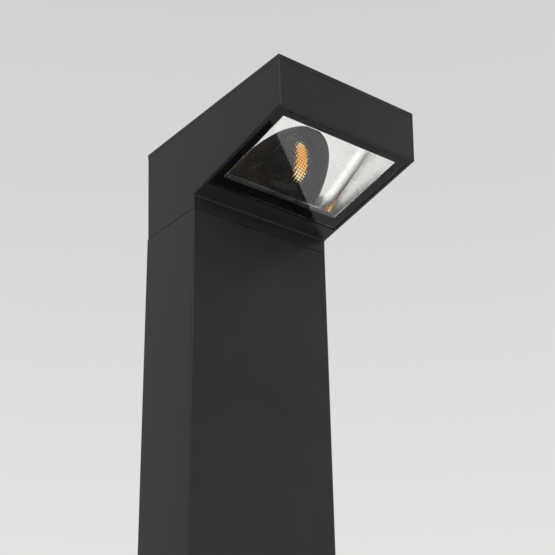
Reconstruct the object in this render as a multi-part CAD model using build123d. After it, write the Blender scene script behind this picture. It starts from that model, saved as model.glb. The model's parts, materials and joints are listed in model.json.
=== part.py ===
from build123d import *
import os
from math import atan2, cos, degrees, radians, sin, tan

# Bollard light with a rectangular column and an overhanging head.
# Millimetres.  Origin: centre of the foot's underside, on the column's axis.
# +Z is up, -Y is the side that the head overhangs, X is across the width.

# ---------------------------------------------------------------- driving sizes
HEIGHT = 1000.0          # ground to top of lid
COLUMN_W = 120.0         # column section along X
COLUMN_D = 60.0          # column section along Y
COLUMN_WALL = 3.0
CORNER_R = 1.0           # outer edge radius of column and head

# foot
PAD_T = 2.0
FOOT_X = 170.0
FOOT_Y = 110.0
FOOT_R = 8.0
FOOT_T = 10.0
ANCHOR_X = 140.0         # spacing of the four anchor holes
ANCHOR_Y = 80.0
ANCHOR_R = 6.0
CABLE_HOLE_R = 20.0
PLATE_CHAMFER = 0.8
BLIND_FLOOR = 2.0        # material left under a tapped hole in the foot

# spigot that the column slides over
TAB_H = 40.0
TAB_T = 4.0
TAB_GAP = 0.2
TAB_HALF_X = 44.0
TAB_HALF_Y = 14.8
SPIGOT_FLOOR_T = 4.0
SPIGOT_FLOOR_X = 41.0
SPIGOT_RIB_X = 45.0
SPIGOT_SCREW_AT = (46.5, 9.0)
SPIGOT_SCREW_R = 2.0
SPIGOT_SCREW_HEAD_R = 3.8
SPIGOT_SCREW_LENGTH = 10.0

# countersunk screws through the column's sides into the spigot
SIDE_SCREW_R = 2.5
SIDE_SCREW_HEAD_R = 4.8
SIDE_SCREW_LENGTH = 10.0
SIDE_SCREW_Y = 9.0
SIDE_SCREW_RISE = 22.0   # above the foot's top

# earth stud
EARTH_AT = (32.0, -12.0)
EARTH_R = 3.0
EARTH_STUD_H = 18.0
EARTH_WASHER_R = 6.0
EARTH_WASHER_T = 1.2
EARTH_NUT_R = 5.8
EARTH_NUT_H = 5.0

# screw ports along the column's inner corners
PORT_X = 51.5
PORT_Y = 21.5
PORT_R = 5.8
PORT_HOLE_R = 2.4
PORT_SLOT = 2.2
PORT_CLEARANCE = 0.5     # radial, for the head screws above the ports
HEAD_SCREW_BITE = 22.0   # length of thread inside a port
HEAD_SCREW_HEAD_R = 4.2
HEAD_SCREW_HEAD_H = 3.6
SEAM_PAD_INSET = 0.8

# head: heights above the joint between column and head
HEAD_H = 72.5
SEAM_Z = HEIGHT - HEAD_H
SEAM_PAD_T = 0.5
NECK_H = 10.5            # vertical neck under the start of the soffit
FASCIA_FOOT_H = 32.0     # lower edge of the front fascia
OVERHANG = 100.3         # column front to fascia, at the fascia's lower edge
BACK_SET = 0.9           # head's back face behind the column's, at the joint
SIDE_DRAFT = 0.0219      # outward lean per millimetre of height
FRONT_DRAFT = 0.0182
BACK_DRAFT = 0.014
HEAD_WALL = 3.0
FLOOR_T = 8.0
LID_T = 4.3
LID_GAP = 0.3            # shadow line under the lid
LID_LIP = 0.5            # lid overhang at the back
SEAL_GROOVE_W = 1.4
SEAL_GROOVE_D = 0.8
SEAL_INSET = 0.8

# glass in the soffit: v runs forwards along the soffit from the neck
SOFFIT_T = 8.0
GLASS_T = 3.0
GLASS_SET = 0.4          # how far the glass lies inside the soffit's face
GLASS_HALF_U = 57.5
GLASS_V = (14.5, 100.2)
GLASS_CHAMFER = 0.3
RECESS_GAP = 0.3
RECESS_DEPTH = 4.0
LEDGE_HALF_U = 52.0
LEDGE_V = (21.5, 95.0)
CLEAR_HALF_U = 50.5
CLEAR_V = (23.3, 93.4)
FRIT_T = 0.1
FRIT_EDGE = 0.4          # bare glass outside the frit
SEAL_EDGE = 0.6
SEAL_BACK_OFF = 0.4      # seal's inner edge behind the ledge's

# reflector: s runs forwards along the tilted roof, n is its upward normal
ROOF_TILT = 28.4
ROOF_BACK_Y = 2.2        # behind the column's front face
ROOF_BACK_H = 22.9       # above the joint
ROOF_TOP_H = 65.0
TRAY_T = 1.2
TRAY_HALF_X = 49.8
TRAY_GAP = 0.2
TRAY_CORNER_R = 7.5      # inner radius where the roof meets the walls
TRAY_EAR_V = (32.0, 84.0)
TRAY_EAR_U = 53.8
TRAY_EAR_HALF_V = 4.0
TRAY_EAR_TIP = 2.6
TRAY_SCREW_R = 1.2
TRAY_SCREW_DEPTH = 2.2
TRAY_SCREW_HEAD_R = 2.2
TRAY_SCREW_HEAD_H = 1.6
DOME_X = 39.7            # semi-axes of the dome's inner surface
DOME_S = 71.8
DOME_N = 30.0
DOME_T = 1.2
DOME_GAP = 0.1
DOME_FLANGE = 5.0
DOME_SLOT_EXTRA = 1.5    # lamp opening beyond the slot for the leads
STAKE_R = 1.2
STAKE_TOP_N = 2.9
STAKE_FOOT_N = 0.6
STAKE_HEAD_R = 2.0
STAKE_HEAD_H = 0.9
STAKE_ANGLES = (14.0, 58.0, 122.0, 166.0)

# lamp on its bracket behind the dome
LAMP_N = 12.0
LAMP_R = 6.5
LAMP_T = 0.8
BOARD_X = 32.0
BOARD_N = 18.0
BOARD_T = 1.6
BOARD_HOLE_R = 1.4
BOARD_SCREW_HEAD_R = 2.4
BOARD_SCREW_HEAD_H = 1.5
THERMAL_T = 0.2
THERMAL_INSET = 0.5
THERMAL_HOLE_R = 1.6
BRACKET_T = 3.0
BRACKET_HALF_X = 40.0
BRACKET_TOP_N = 32.0
BRACKET_FRONT_S = -2.0
BRACKET_FOOT_Z = SEAM_Z + 18.4
BRACKET_REACH = 5.0      # foot behind its screws
BRACKET_NOSE = 0.4       # foot in front of the lamp seat
BRACKET_SCREW = (34.0, -3.0)
BRACKET_SCREW_R = 1.6
BRACKET_SCREW_LENGTH = 11.0
BRACKET_SCREW_HEAD_R = 3.4
BRACKET_SCREW_HEAD_H = 2.4
BRACKET_HOLE_R = 2.2
BRACKET_BOSS_R = 4.5
BOARD_SCREW_X = 12.5
SMALL_SCREW_R = 1.25     # screws of the lamp board and of the driver
SMALL_SCREW_LENGTH = 5.0
LEAD_R = 0.8
LEAD_OFFSETS = (-2.5, 2.5)
LEAD_PAD_X = 14.0
LEAD_SLOT_X = 21.0
LEAD_SLOT_HALF_X = 2.5
LEAD_SLOT_HALF_N = 6.0
LEAD_BACK_RUN = 14.0
LEAD_DRIVER_RUN = 6.0
LEAD_DRIVER_RISE = 8.0
LEAD_BEND_R = 4.8
LEAD_END_BEND_R = 4.0

# driver, upright behind the lamp bracket
DRIVER_HALF_X = 42.0
DRIVER_Y = (2.0, 23.8)
DRIVER_Z = (SEAM_Z + 25.5, SEAM_Z + 57.5)
DRIVER_EAR_T = 2.0
DRIVER_EAR_X = 51.0
DRIVER_EAR_HALF_Z = 5.0
DRIVER_CORNER_R = 2.0
DRIVER_SCREW_X = 47.0
DRIVER_HOLE_R = 1.8
DRIVER_SCREW_HEAD_R = 3.0
DRIVER_SCREW_HEAD_H = 2.0
DRIVER_BOSS_R = 4.0

# pass-throughs in the head's floor
GROMMET_AT = (-34.0, 13.5)
GROMMET_HOLE_R = 8.0
GROMMET_LIP_T = 2.0
GROMMET_LIP = 2.5
VENT_AT = (34.0, 13.5)
VENT_HOLE_R = 6.0
VENT_BORE_R = 3.0
VENT_CAP_R = 8.0
VENT_NUT_R = 9.0
VENT_CAP_H = 3.5
VENT_NUT_H = 3.5

# lid screws
LID_SCREW_X = 54.6
LID_SCREW_Y = (-118.0, 12.0)
LID_BOSS_R = 3.3
LID_SCREW_R = 1.6
LID_SCREW_HEAD_R = 4.0
LID_SCREW_BITE = 9.0
LID_PILOT_DEPTH = 12.0
LID_HOLE_R = 2.0

# connection gear inside the column
GEAR_Y = 18.5            # front face of the gear tray
GEAR_T = 1.5
GEAR_HALF_X = 35.0
GEAR_TOP = 300.0
GEAR_FOOT_X = (24.0, 35.0)
GEAR_FOOT_FRONT = 2.0
GEAR_FOOT_SLOT = 30.0    # opening between the two feet
GEAR_TOP_R = 6.0
GEAR_SCREW = (30.0, 8.0)
GEAR_SCREW_R = 2.0
GEAR_SCREW_LENGTH = 8.0
GEAR_SCREW_HEAD_R = 3.6
GEAR_SCREW_HEAD_H = 2.6
GEAR_HOLE_R = 2.2
BOX_HALF_X = 36.0
BOX_Y = (-19.5, GEAR_Y)
BOX_Z = (130.0, 250.0)
BOX_WALL = 2.5
BOX_LID_T = 2.5
BOX_SEAL_T = 0.5
BOX_CORNER_R = 3.0
BOX_SEAL_EDGE = 0.4
BOX_BOSS_R = 4.0
BOX_SCREW_INSET = 5.0
BOX_PILOT_DEPTH = 12.0
BOX_LID_SCREW_R = 1.35
BOX_LID_SCREW_HEAD_R = 2.8
BOX_LID_SCREW_HEAD_H = 1.6
BOX_LID_HOLE_R = 1.7
BOX_FIX_Z = 20.0         # height of the two box fixings from its ends
BOX_FIX_R = 1.6
BOX_FIX_HEAD_R = 3.2
BOX_FIX_HEAD_H = 2.0
BOX_FIX_HOLE_R = 1.7
TERMINAL_WAYS = 5
TERMINAL_PITCH = 9.0
TERMINAL_DEPTH = 14.0
TERMINAL_HALF_Z = 9.0
TERMINAL_WIRE_R = 2.0
TERMINAL_DRIVE_R = 2.2
GLAND_AT = (-12.0, -2.0)
GLAND_R = 8.0
GLAND_NUT_H = 4.0
GLAND_HEX_R = 11.0
GLAND_HEX_H = 6.0
GLAND_DOME_R = 8.6
GLAND_DOME_H = 14.0
SUPPLY_BORE_R = 5.0      # bore of the gland for the supply cable
CABLE_R = 3.5
CABLE_BEND_R = 300.0
CABLE_END = 14.0         # inside the box
CABLE_GROMMET_Z = SEAM_Z - 42.5
CABLE_SWAYS = (          # offsets from the gland's axis, and height
    (0.0, 0.0, 300.0),
    (-5.0, -3.0, 400.0),
    (-14.0, 2.0, 505.0),
    (-16.0, 9.0, 605.0),
    (-24.0, 8.0, 705.0),
    (-25.0, 15.0, 805.0),
)
FIT = 0.05               # radial clearance of a screw in its hole
OVERLAP = 1.0            # how far a boss starts inside the wall that carries it
END_PLAY = 0.3           # left under a screw's tip in a blind hole
FAR = 200.0              # beyond the head in every direction, for cutters

# ---------------------------------------------------------------- derived sizes
HALF_W = COLUMN_W / 2
HALF_D = COLUMN_D / 2
FOOT_TOP = PAD_T + FOOT_T
SIDE_SCREW_Z = FOOT_TOP + SIDE_SCREW_RISE
COLUMN_TOP = SEAM_Z - SEAM_PAD_T
NECK_Z = SEAM_Z + NECK_H
FASCIA_FOOT_Z = SEAM_Z + FASCIA_FOOT_H
FASCIA_FOOT_Y = -HALF_D - OVERHANG
FLOOR_TOP = SEAM_Z + FLOOR_T
BODY_TOP = HEIGHT - LID_T - LID_GAP
SOFFIT_SLOPE = atan2(FASCIA_FOOT_H - NECK_H, OVERHANG)
INNER_X = HALF_W - COLUMN_WALL
INNER_Y = HALF_D - COLUMN_WALL
ROOF_ANGLE = radians(ROOF_TILT)
ROOF_Y = -HALF_D + ROOF_BACK_Y
ROOF_Z = SEAM_Z + ROOF_BACK_H
BOARD_BACK_S = BRACKET_FRONT_S + THERMAL_T
BOARD_FRONT_S = BOARD_BACK_S + BOARD_T

SOFFIT = Plane(
    origin=(0, -HALF_D, NECK_Z),
    x_dir=(1, 0, 0),
    z_dir=(0, sin(SOFFIT_SLOPE), cos(SOFFIT_SLOPE)),
)
ROOF = Plane(
    origin=(0, ROOF_Y, ROOF_Z),
    x_dir=(1, 0, 0),
    z_dir=(0, sin(ROOF_ANGLE), cos(ROOF_ANGLE)),
)


# ---------------------------------------------------------------- helpers
def save(name, *solids):
    """Write one node; a group of identical pieces stays separate solids."""
    shape = solids[0] if len(solids) == 1 else Compound(list(solids))
    export_step(shape, f"parts/{name}.step")


def block(x_range, y_range, z_range):
    """Box between limits along X, Y and Z."""
    size = [high - low for low, high in (x_range, y_range, z_range)]
    middle = [(high + low) / 2 for low, high in (x_range, y_range, z_range)]
    return Pos(*middle) * Box(*size)


def post(x, y, radius, z_low, z_high):
    """Upright cylinder between two heights."""
    return Pos(x, y, (z_low + z_high) / 2) * Cylinder(radius, z_high - z_low)


def on_soffit(half_u, v_range, n_range):
    """Box in the soffit's frame: across, forwards from the neck, inwards."""
    return SOFFIT * block((-half_u, half_u), (-v_range[1], -v_range[0]), n_range)


def on_roof(x_range, s_range, n_range):
    """Box in the reflector roof's frame: across, forwards, upwards."""
    return ROOF * block(x_range, (-s_range[1], -s_range[0]), n_range)


def roof_point(x, s, n):
    """Row position of a point given in the reflector roof's frame."""
    return ROOF.from_local_coords(Vector(x, -s, n))


def side_prism(points, half_width):
    """Prism across X with an outline of (y, z) points."""
    outline = Plane.YZ * make_face(Polyline(*points, close=True))
    return extrude(outline, amount=half_width, both=True)


def four(x, y):
    """The four mirror positions of a point about the column's axis."""
    return [(side_x * x, side_y * y) for side_x in (-1, 1) for side_y in (-1, 1)]


def pan_screw(radius, length, head_r, head_h):
    """Screw along -Z: seat of the head at z = 0, hexagon socket on top."""
    shank = Pos(0, 0, -length / 2) * Cylinder(radius, length)
    head = Pos(0, 0, head_h / 2) * Cylinder(head_r, head_h)
    socket_depth = head_h * 0.6
    socket = Pos(0, 0, head_h) * extrude(RegularPolygon(head_r * 0.5, 6), amount=-socket_depth)
    return shank + head - socket


def countersunk_screw(radius, length, head_r):
    """Screw along -Z with its flat top at z = 0 and a hexagon socket."""
    head_h = head_r - radius
    shank = Pos(0, 0, -length / 2) * Cylinder(radius, length)
    head = Pos(0, 0, -head_h / 2) * Cone(radius, head_r, head_h)
    socket = extrude(RegularPolygon(radius * 0.75, 6), amount=-head_h * 0.8)
    return shank + head - socket


def countersink(radius, head_r, depth):
    """Cutter for a countersunk screw, its mouth at z = 0 and opening upwards."""
    head_h = head_r - radius
    hole = Pos(0, 0, -depth / 2) * Cylinder(radius, depth)
    mouth = Pos(0, 0, -head_h / 2) * Cone(radius, head_r, head_h)
    rim = Pos(0, 0, radius / 2) * Cylinder(head_r, radius)
    return hole + mouth + rim


def facing_x(side, x, y, z):
    """Place a screw so that its head faces outwards along X."""
    return Pos(side * x, y, z) * Rot(0, side * 90, 0)


def facing_front(x, y, z):
    """Place a screw so that its head faces -Y."""
    return Pos(x, y, z) * Rot(90, 0, 0)


# ---------------------------------------------------------------- foot
def foot_outline():
    return RectangleRounded(FOOT_X, FOOT_Y, FOOT_R)


def base_gasket():
    pad = extrude(foot_outline(), amount=PAD_T)
    for x, y in four(ANCHOR_X / 2, ANCHOR_Y / 2):
        pad -= post(x, y, ANCHOR_R, 0, PAD_T)
    return pad - post(0, 0, CABLE_HOLE_R, 0, PAD_T)


def side_screw_places():
    return [
        facing_x(side, HALF_W, y, SIDE_SCREW_Z)
        for side in (-1, 1)
        for y in (-SIDE_SCREW_Y, SIDE_SCREW_Y)
    ]


def base_plate():
    plate = Pos(0, 0, PAD_T) * extrude(foot_outline(), amount=FOOT_T)
    plate = chamfer(plate.edges().group_by(Axis.Z)[-1], PLATE_CHAMFER)
    for x, y in four(ANCHOR_X / 2, ANCHOR_Y / 2):
        plate -= post(x, y, ANCHOR_R, 0, FOOT_TOP)
    plate -= post(0, 0, CABLE_HOLE_R, 0, FOOT_TOP)
    blind_z = (PAD_T + BLIND_FLOOR, FOOT_TOP)
    for side in (-1, 1):
        plate -= post(side * GEAR_SCREW[0], GEAR_SCREW[1], GEAR_SCREW_R, *blind_z)
    for x, y in four(*SPIGOT_SCREW_AT):
        plate -= post(x, y, SPIGOT_SCREW_R + FIT, *blind_z)
    return plate - post(*EARTH_AT, EARTH_R, *blind_z)


def column_spigot():
    """Collar screwed on the foot: four upright tabs that the column slides over."""
    tab_z = (FOOT_TOP, FOOT_TOP + TAB_H)
    floor_z = (FOOT_TOP, FOOT_TOP + SPIGOT_FLOOR_T)
    outer_x = INNER_X - TAB_GAP
    outer_y = INNER_Y - TAB_GAP
    collar = Part()
    for side in (-1, 1):
        tab_x = sorted((side * outer_x, side * (outer_x - TAB_T)))
        tab_y = sorted((side * outer_y, side * (outer_y - TAB_T)))
        collar += block(tab_x, (-TAB_HALF_Y, TAB_HALF_Y), tab_z)
        collar += block((-TAB_HALF_X, TAB_HALF_X), tab_y, tab_z)
        floor_x = sorted((side * SPIGOT_FLOOR_X, side * outer_x))
        rib_x = sorted((side * SPIGOT_FLOOR_X, side * SPIGOT_RIB_X))
        collar += block(floor_x, (-TAB_HALF_Y, TAB_HALF_Y), floor_z)
        collar += block(rib_x, (-outer_y, outer_y), floor_z)
    for place in side_screw_places():
        pilot = Cylinder(SIDE_SCREW_R + FIT, SIDE_SCREW_LENGTH)
        collar -= place * Pos(0, 0, -SIDE_SCREW_LENGTH / 2) * pilot
    for x, y in four(*SPIGOT_SCREW_AT):
        seat = Pos(x, y, FOOT_TOP + SPIGOT_FLOOR_T)
        collar -= seat * countersink(SPIGOT_SCREW_R + FIT, SPIGOT_SCREW_HEAD_R + FIT, FOOT_T)
    return collar


def spigot_screws():
    screw = countersunk_screw(SPIGOT_SCREW_R, SPIGOT_SCREW_LENGTH, SPIGOT_SCREW_HEAD_R)
    return [Pos(x, y, FOOT_TOP + SPIGOT_FLOOR_T) * screw for x, y in four(*SPIGOT_SCREW_AT)]


def column_screws():
    screw = countersunk_screw(SIDE_SCREW_R, SIDE_SCREW_LENGTH, SIDE_SCREW_HEAD_R)
    return [place * screw for place in side_screw_places()]


def earth_stud():
    """Threaded stud with two washers and two nuts."""
    stud = post(*EARTH_AT, EARTH_R - FIT, PAD_T + BLIND_FLOOR, FOOT_TOP + EARTH_STUD_H)
    for z in (FOOT_TOP, FOOT_TOP + EARTH_WASHER_T + EARTH_NUT_H):
        stud += post(*EARTH_AT, EARTH_WASHER_R, z, z + EARTH_WASHER_T)
        nut = extrude(RegularPolygon(EARTH_NUT_R, 6), amount=EARTH_NUT_H)
        stud += Pos(*EARTH_AT, z + EARTH_WASHER_T) * nut
    return stud


# ---------------------------------------------------------------- column
def port_section(side_x, side_y):
    """C-shaped screw port in one inner corner, its slot facing the middle."""
    ring = Pos(side_x * PORT_X, side_y * PORT_Y) * Circle(PORT_R)
    hole = Pos(side_x * PORT_X, side_y * PORT_Y) * Circle(PORT_HOLE_R)
    turn = degrees(atan2(-side_y, -side_x))
    slot = Rot(0, 0, turn) * Pos(PORT_R, 0) * Rectangle(2 * PORT_R, PORT_SLOT)
    return ring, hole + Pos(side_x * PORT_X, side_y * PORT_Y) * slot


def column():
    outside = RectangleRounded(COLUMN_W, COLUMN_D, CORNER_R)
    section = outside - Rectangle(2 * INNER_X, 2 * INNER_Y)
    for side_x in (-1, 1):
        for side_y in (-1, 1):
            ring, cut = port_section(side_x, side_y)
            section += ring & outside
            section -= cut
    tube = Pos(0, 0, FOOT_TOP) * extrude(section, amount=COLUMN_TOP - FOOT_TOP)
    for place in side_screw_places():
        tube -= place * countersink(SIDE_SCREW_R + FIT, SIDE_SCREW_HEAD_R + FIT, 2 * COLUMN_WALL)
    return tube


def seam_gasket():
    """Flat seal on the column's end, set in from the faces, with port pads."""
    trim = 2 * SEAM_PAD_INSET
    outside = Rectangle(COLUMN_W - trim, COLUMN_D - 2 * BACK_SET - trim)
    ring = outside - Rectangle(2 * INNER_X, 2 * INNER_Y - trim)
    for x, y in four(PORT_X, PORT_Y):
        ring += (Pos(x, y) * Circle(PORT_R)) & outside
        ring -= Pos(x, y) * Circle(PORT_HOLE_R + PORT_CLEARANCE)
    return Pos(0, 0, COLUMN_TOP) * extrude(ring, amount=SEAM_PAD_T)


# ---------------------------------------------------------------- head casting
def head_envelope():
    """Outer shape of head and lid together, edges rounded."""
    rise = HEIGHT - FASCIA_FOOT_Z
    back_y = HALF_D - BACK_SET
    outline = [
        (back_y, SEAM_Z),
        (back_y + BACK_DRAFT * HEAD_H, HEIGHT),
        (FASCIA_FOOT_Y - FRONT_DRAFT * rise, HEIGHT),
        (FASCIA_FOOT_Y, FASCIA_FOOT_Z),
        (-HALF_D, NECK_Z),
        (-HALF_D, SEAM_Z),
    ]
    side_view = side_prism(outline, COLUMN_W)
    envelope = side_view & front_taper(HALF_W, SEAM_Z, HEIGHT)
    free_edges = envelope.edges().filter_by_position(Axis.Z, SEAM_Z + 0.1, HEIGHT + 0.1)
    return fillet(free_edges, CORNER_R)


def front_taper(half_width, z_low, z_high):
    """Block whose sides lean outwards with the head's draft."""
    low = half_width + SIDE_DRAFT * (z_low - SEAM_Z)
    high = half_width + SIDE_DRAFT * (z_high - SEAM_Z)
    corners = [(-low, z_low), (low, z_low), (high, z_high), (-high, z_high)]
    face = Plane.XZ * make_face(Polyline(*corners, close=True))
    return extrude(face, amount=HEIGHT / 2, both=True)


def soffit_point(v, n):
    """The (y, z) of a point in the soffit's frame."""
    y = -HALF_D - v * cos(SOFFIT_SLOPE) + n * sin(SOFFIT_SLOPE)
    z = NECK_Z + v * sin(SOFFIT_SLOPE) + n * cos(SOFFIT_SLOPE)
    return y, z


def soffit_height(y, n):
    """Height, at a given y, of the plane that lies n inside the soffit's face."""
    start_y, start_z = soffit_point(0, n)
    return start_z + (start_y - y) * tan(SOFFIT_SLOPE)


def head_cavity():
    """Inner space of the casting, open at the top."""
    back_y = HALF_D - BACK_SET - HEAD_WALL
    front_y = FASCIA_FOOT_Y + HEAD_WALL
    step_y = -HALF_D + HEAD_WALL
    above = HEIGHT - SEAM_Z
    outline = [
        (back_y, FLOOR_TOP),
        (back_y + BACK_DRAFT * above, HEIGHT),
        (front_y - FRONT_DRAFT * above / 2, HEIGHT),
        (front_y, soffit_height(front_y, SOFFIT_T)),
        (step_y, soffit_height(step_y, SOFFIT_T)),
        (step_y, FLOOR_TOP),
    ]
    space = side_prism(outline, COLUMN_W)
    return space & front_taper(HALF_W - HEAD_WALL, FLOOR_TOP, HEIGHT)


def lid_boss(side, y):
    """Post for one lid screw with a web to the side wall."""
    if y > -HALF_D:
        low = FLOOR_TOP - OVERLAP
    else:
        low = soffit_height(y, SOFFIT_T) - 2 * OVERLAP
    web_x = sorted((side * LID_SCREW_X, side * (HALF_W - HEAD_WALL / 2)))
    web = block(web_x, (y - LID_BOSS_R, y + LID_BOSS_R), (low, BODY_TOP))
    return post(side * LID_SCREW_X, y, LID_BOSS_R, low, BODY_TOP) + web


def driver_boss(side):
    """Stub on the back wall for one driver screw."""
    back = HALF_D - BACK_SET - OVERLAP
    reach = back - DRIVER_Y[1]
    stub = Rot(90, 0, 0) * Cylinder(DRIVER_BOSS_R, reach)
    return Pos(side * DRIVER_SCREW_X, back - reach / 2, sum(DRIVER_Z) / 2) * stub


def head_bosses():
    """Posts for lid, lamp bracket and driver."""
    bosses = []
    for side in (-1, 1):
        bosses += [lid_boss(side, y) for y in LID_SCREW_Y]
        x, y = side * BRACKET_SCREW[0], BRACKET_SCREW[1]
        bosses.append(post(x, y, BRACKET_BOSS_R, FLOOR_TOP - OVERLAP, BRACKET_FOOT_Z))
        bosses.append(driver_boss(side))
    return bosses


def lid_screw_places():
    return [(side * LID_SCREW_X, y) for side in (-1, 1) for y in LID_SCREW_Y]


def lid_seal_ring(z_low, z_high):
    """Ring between two offsets of the body's outline at the top."""
    half_x = HALF_W + SIDE_DRAFT * (BODY_TOP - SEAM_Z) - SEAL_INSET
    back = HALF_D - BACK_SET + BACK_DRAFT * (BODY_TOP - SEAM_Z) - SEAL_INSET
    front = FASCIA_FOOT_Y - FRONT_DRAFT * (BODY_TOP - FASCIA_FOOT_Z) + SEAL_INSET
    width = SEAL_GROOVE_W
    outer = block((-half_x, half_x), (front, back), (z_low, z_high))
    inner = block(
        (-half_x + width, half_x - width),
        (front + width, back - width),
        (z_low - 1, z_high + 1),
    )
    return outer - inner


def head_pilots():
    """Blind holes for the screws that go into the casting."""
    pilots = [post(x, y, LID_SCREW_R + FIT, BODY_TOP - LID_PILOT_DEPTH, BODY_TOP)
              for x, y in lid_screw_places()]
    bracket_z = (FLOOR_TOP + OVERLAP, BRACKET_FOOT_Z)
    for side in (-1, 1):
        x, y = side * BRACKET_SCREW[0], BRACKET_SCREW[1]
        pilots.append(post(x, y, BRACKET_SCREW_R + FIT, *bracket_z))
        hole = Rot(90, 0, 0) * Cylinder(SMALL_SCREW_R + FIT, SMALL_SCREW_LENGTH)
        pilots.append(Pos(side * DRIVER_SCREW_X, DRIVER_Y[1] + 1, sum(DRIVER_Z) / 2) * hole)
        for v in TRAY_EAR_V:
            hole = Cylinder(TRAY_SCREW_R + FIT, TRAY_SCREW_DEPTH)
            depth = SOFFIT_T - TRAY_SCREW_DEPTH / 2
            pilots.append(SOFFIT * Pos(side * TRAY_EAR_U, -v, depth) * hole)
    return pilots


def head_body():
    below_lid = block((-COLUMN_W, COLUMN_W), (-HEIGHT, HEIGHT), (0, BODY_TOP))
    envelope = head_envelope()
    body = (envelope & below_lid) - head_cavity()
    for boss in head_bosses():
        body += boss & envelope
    recess_v = (GLASS_V[0] - RECESS_GAP, GLASS_V[1] + RECESS_GAP)
    body -= on_soffit(GLASS_HALF_U + RECESS_GAP, recess_v, (-SOFFIT_T, RECESS_DEPTH))
    body -= on_soffit(LEDGE_HALF_U, LEDGE_V, (0, SOFFIT_T + 1))
    body -= lid_seal_ring(BODY_TOP - SEAL_GROOVE_D, BODY_TOP + 1)
    for x, y in four(PORT_X, PORT_Y):
        body -= post(x, y, PORT_HOLE_R + PORT_CLEARANCE, SEAM_Z, FLOOR_TOP)
    body -= post(*GROMMET_AT, GROMMET_HOLE_R, SEAM_Z, FLOOR_TOP)
    body -= post(*VENT_AT, VENT_HOLE_R, SEAM_Z, FLOOR_TOP)
    for pilot in head_pilots():
        body -= pilot
    return body


def lid():
    above = block((-COLUMN_W, COLUMN_W), (-HEIGHT, HEIGHT), (BODY_TOP + LID_GAP, HEIGHT + 1))
    plate = head_envelope() & above
    plate += Pos(0, LID_LIP, 0) * plate
    for x, y in lid_screw_places():
        plate -= Pos(x, y, HEIGHT) * countersink(LID_HOLE_R, LID_SCREW_HEAD_R + FIT, 2 * LID_T)
    return plate


def lid_screws():
    length = LID_T + LID_GAP + LID_SCREW_BITE
    screw = countersunk_screw(LID_SCREW_R, length, LID_SCREW_HEAD_R)
    return [Pos(x, y, HEIGHT) * screw for x, y in lid_screw_places()]


def lid_gasket():
    return lid_seal_ring(BODY_TOP - SEAL_GROOVE_D, BODY_TOP + LID_GAP)


def head_screws():
    length = FLOOR_T + SEAM_PAD_T + HEAD_SCREW_BITE
    screw = pan_screw(PORT_HOLE_R - FIT, length, HEAD_SCREW_HEAD_R, HEAD_SCREW_HEAD_H)
    return [Pos(x, y, FLOOR_TOP) * screw for x, y in four(PORT_X, PORT_Y)]


def cable_grommet():
    """Two lips and a waist with the cable's hole through it."""
    z_range = (SEAM_Z - GROMMET_LIP_T, FLOOR_TOP + GROMMET_LIP_T)
    grommet = post(*GROMMET_AT, GROMMET_HOLE_R - FIT, *z_range)
    for z in (SEAM_Z - GROMMET_LIP_T, FLOOR_TOP):
        grommet += post(*GROMMET_AT, GROMMET_HOLE_R + GROMMET_LIP, z, z + GROMMET_LIP_T)
    return grommet - post(*GROMMET_AT, CABLE_R + FIT, *z_range)


def vent_plug():
    """Membrane plug: cap under the floor, thread through it, nut above."""
    top = FLOOR_TOP + VENT_NUT_H
    plug = post(*VENT_AT, VENT_HOLE_R - FIT, SEAM_Z, top)
    plug += post(*VENT_AT, VENT_CAP_R, SEAM_Z - VENT_CAP_H, SEAM_Z)
    plug += Pos(*VENT_AT, FLOOR_TOP) * extrude(RegularPolygon(VENT_NUT_R, 6), amount=VENT_NUT_H)
    return plug - post(*VENT_AT, VENT_BORE_R, SEAM_Z, top)


# ---------------------------------------------------------------- glass
def glass():
    pane = on_soffit(GLASS_HALF_U, GLASS_V, (GLASS_SET, GLASS_SET + GLASS_T))
    return chamfer(pane.edges(), GLASS_CHAMFER)


def soffit_frame(half_u, v_range, inner_half_u, inner_v, n_range):
    """Rectangular frame lying in the soffit."""
    cut_n = (n_range[0] - 1, n_range[1] + 1)
    return on_soffit(half_u, v_range, n_range) - on_soffit(inner_half_u, inner_v, cut_n)


def glass_frit():
    """Opaque printed border on the glass's inner face."""
    v_range = (GLASS_V[0] + FRIT_EDGE, GLASS_V[1] - FRIT_EDGE)
    inner_face = GLASS_SET + GLASS_T
    n_range = (inner_face, inner_face + FRIT_T)
    return soffit_frame(GLASS_HALF_U - FRIT_EDGE, v_range, CLEAR_HALF_U, CLEAR_V, n_range)


def glass_seal():
    """Bonding seal between the frit and the ledge of the recess."""
    v_range = (GLASS_V[0] + SEAL_EDGE, GLASS_V[1] - SEAL_EDGE)
    n_range = (GLASS_SET + GLASS_T + FRIT_T, RECESS_DEPTH)
    inner_u = LEDGE_HALF_U + SEAL_BACK_OFF
    inner_v = (LEDGE_V[0] - SEAL_BACK_OFF, LEDGE_V[1] + SEAL_BACK_OFF)
    return soffit_frame(GLASS_HALF_U - SEAL_EDGE, v_range, inner_u, inner_v, n_range)


# ---------------------------------------------------------------- reflector
def roof_ellipsoid(grow):
    """Dome surface grown outwards, centred on the roof's back edge."""
    semi_axes = (DOME_X + grow, DOME_S + grow, DOME_N + grow)
    return ROOF * scale(Sphere(1), by=semi_axes)


def ellipse_plate(grow, n_range):
    """Half-elliptic plate on the roof, forward of the dome's back wall."""
    outline = Ellipse(DOME_X + grow, DOME_S + grow)
    plate = Pos(0, 0, n_range[0]) * extrude(outline, amount=n_range[1] - n_range[0])
    return (ROOF * plate) & on_roof((-FAR, FAR), (-DOME_T, FAR), (-FAR, FAR))


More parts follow.
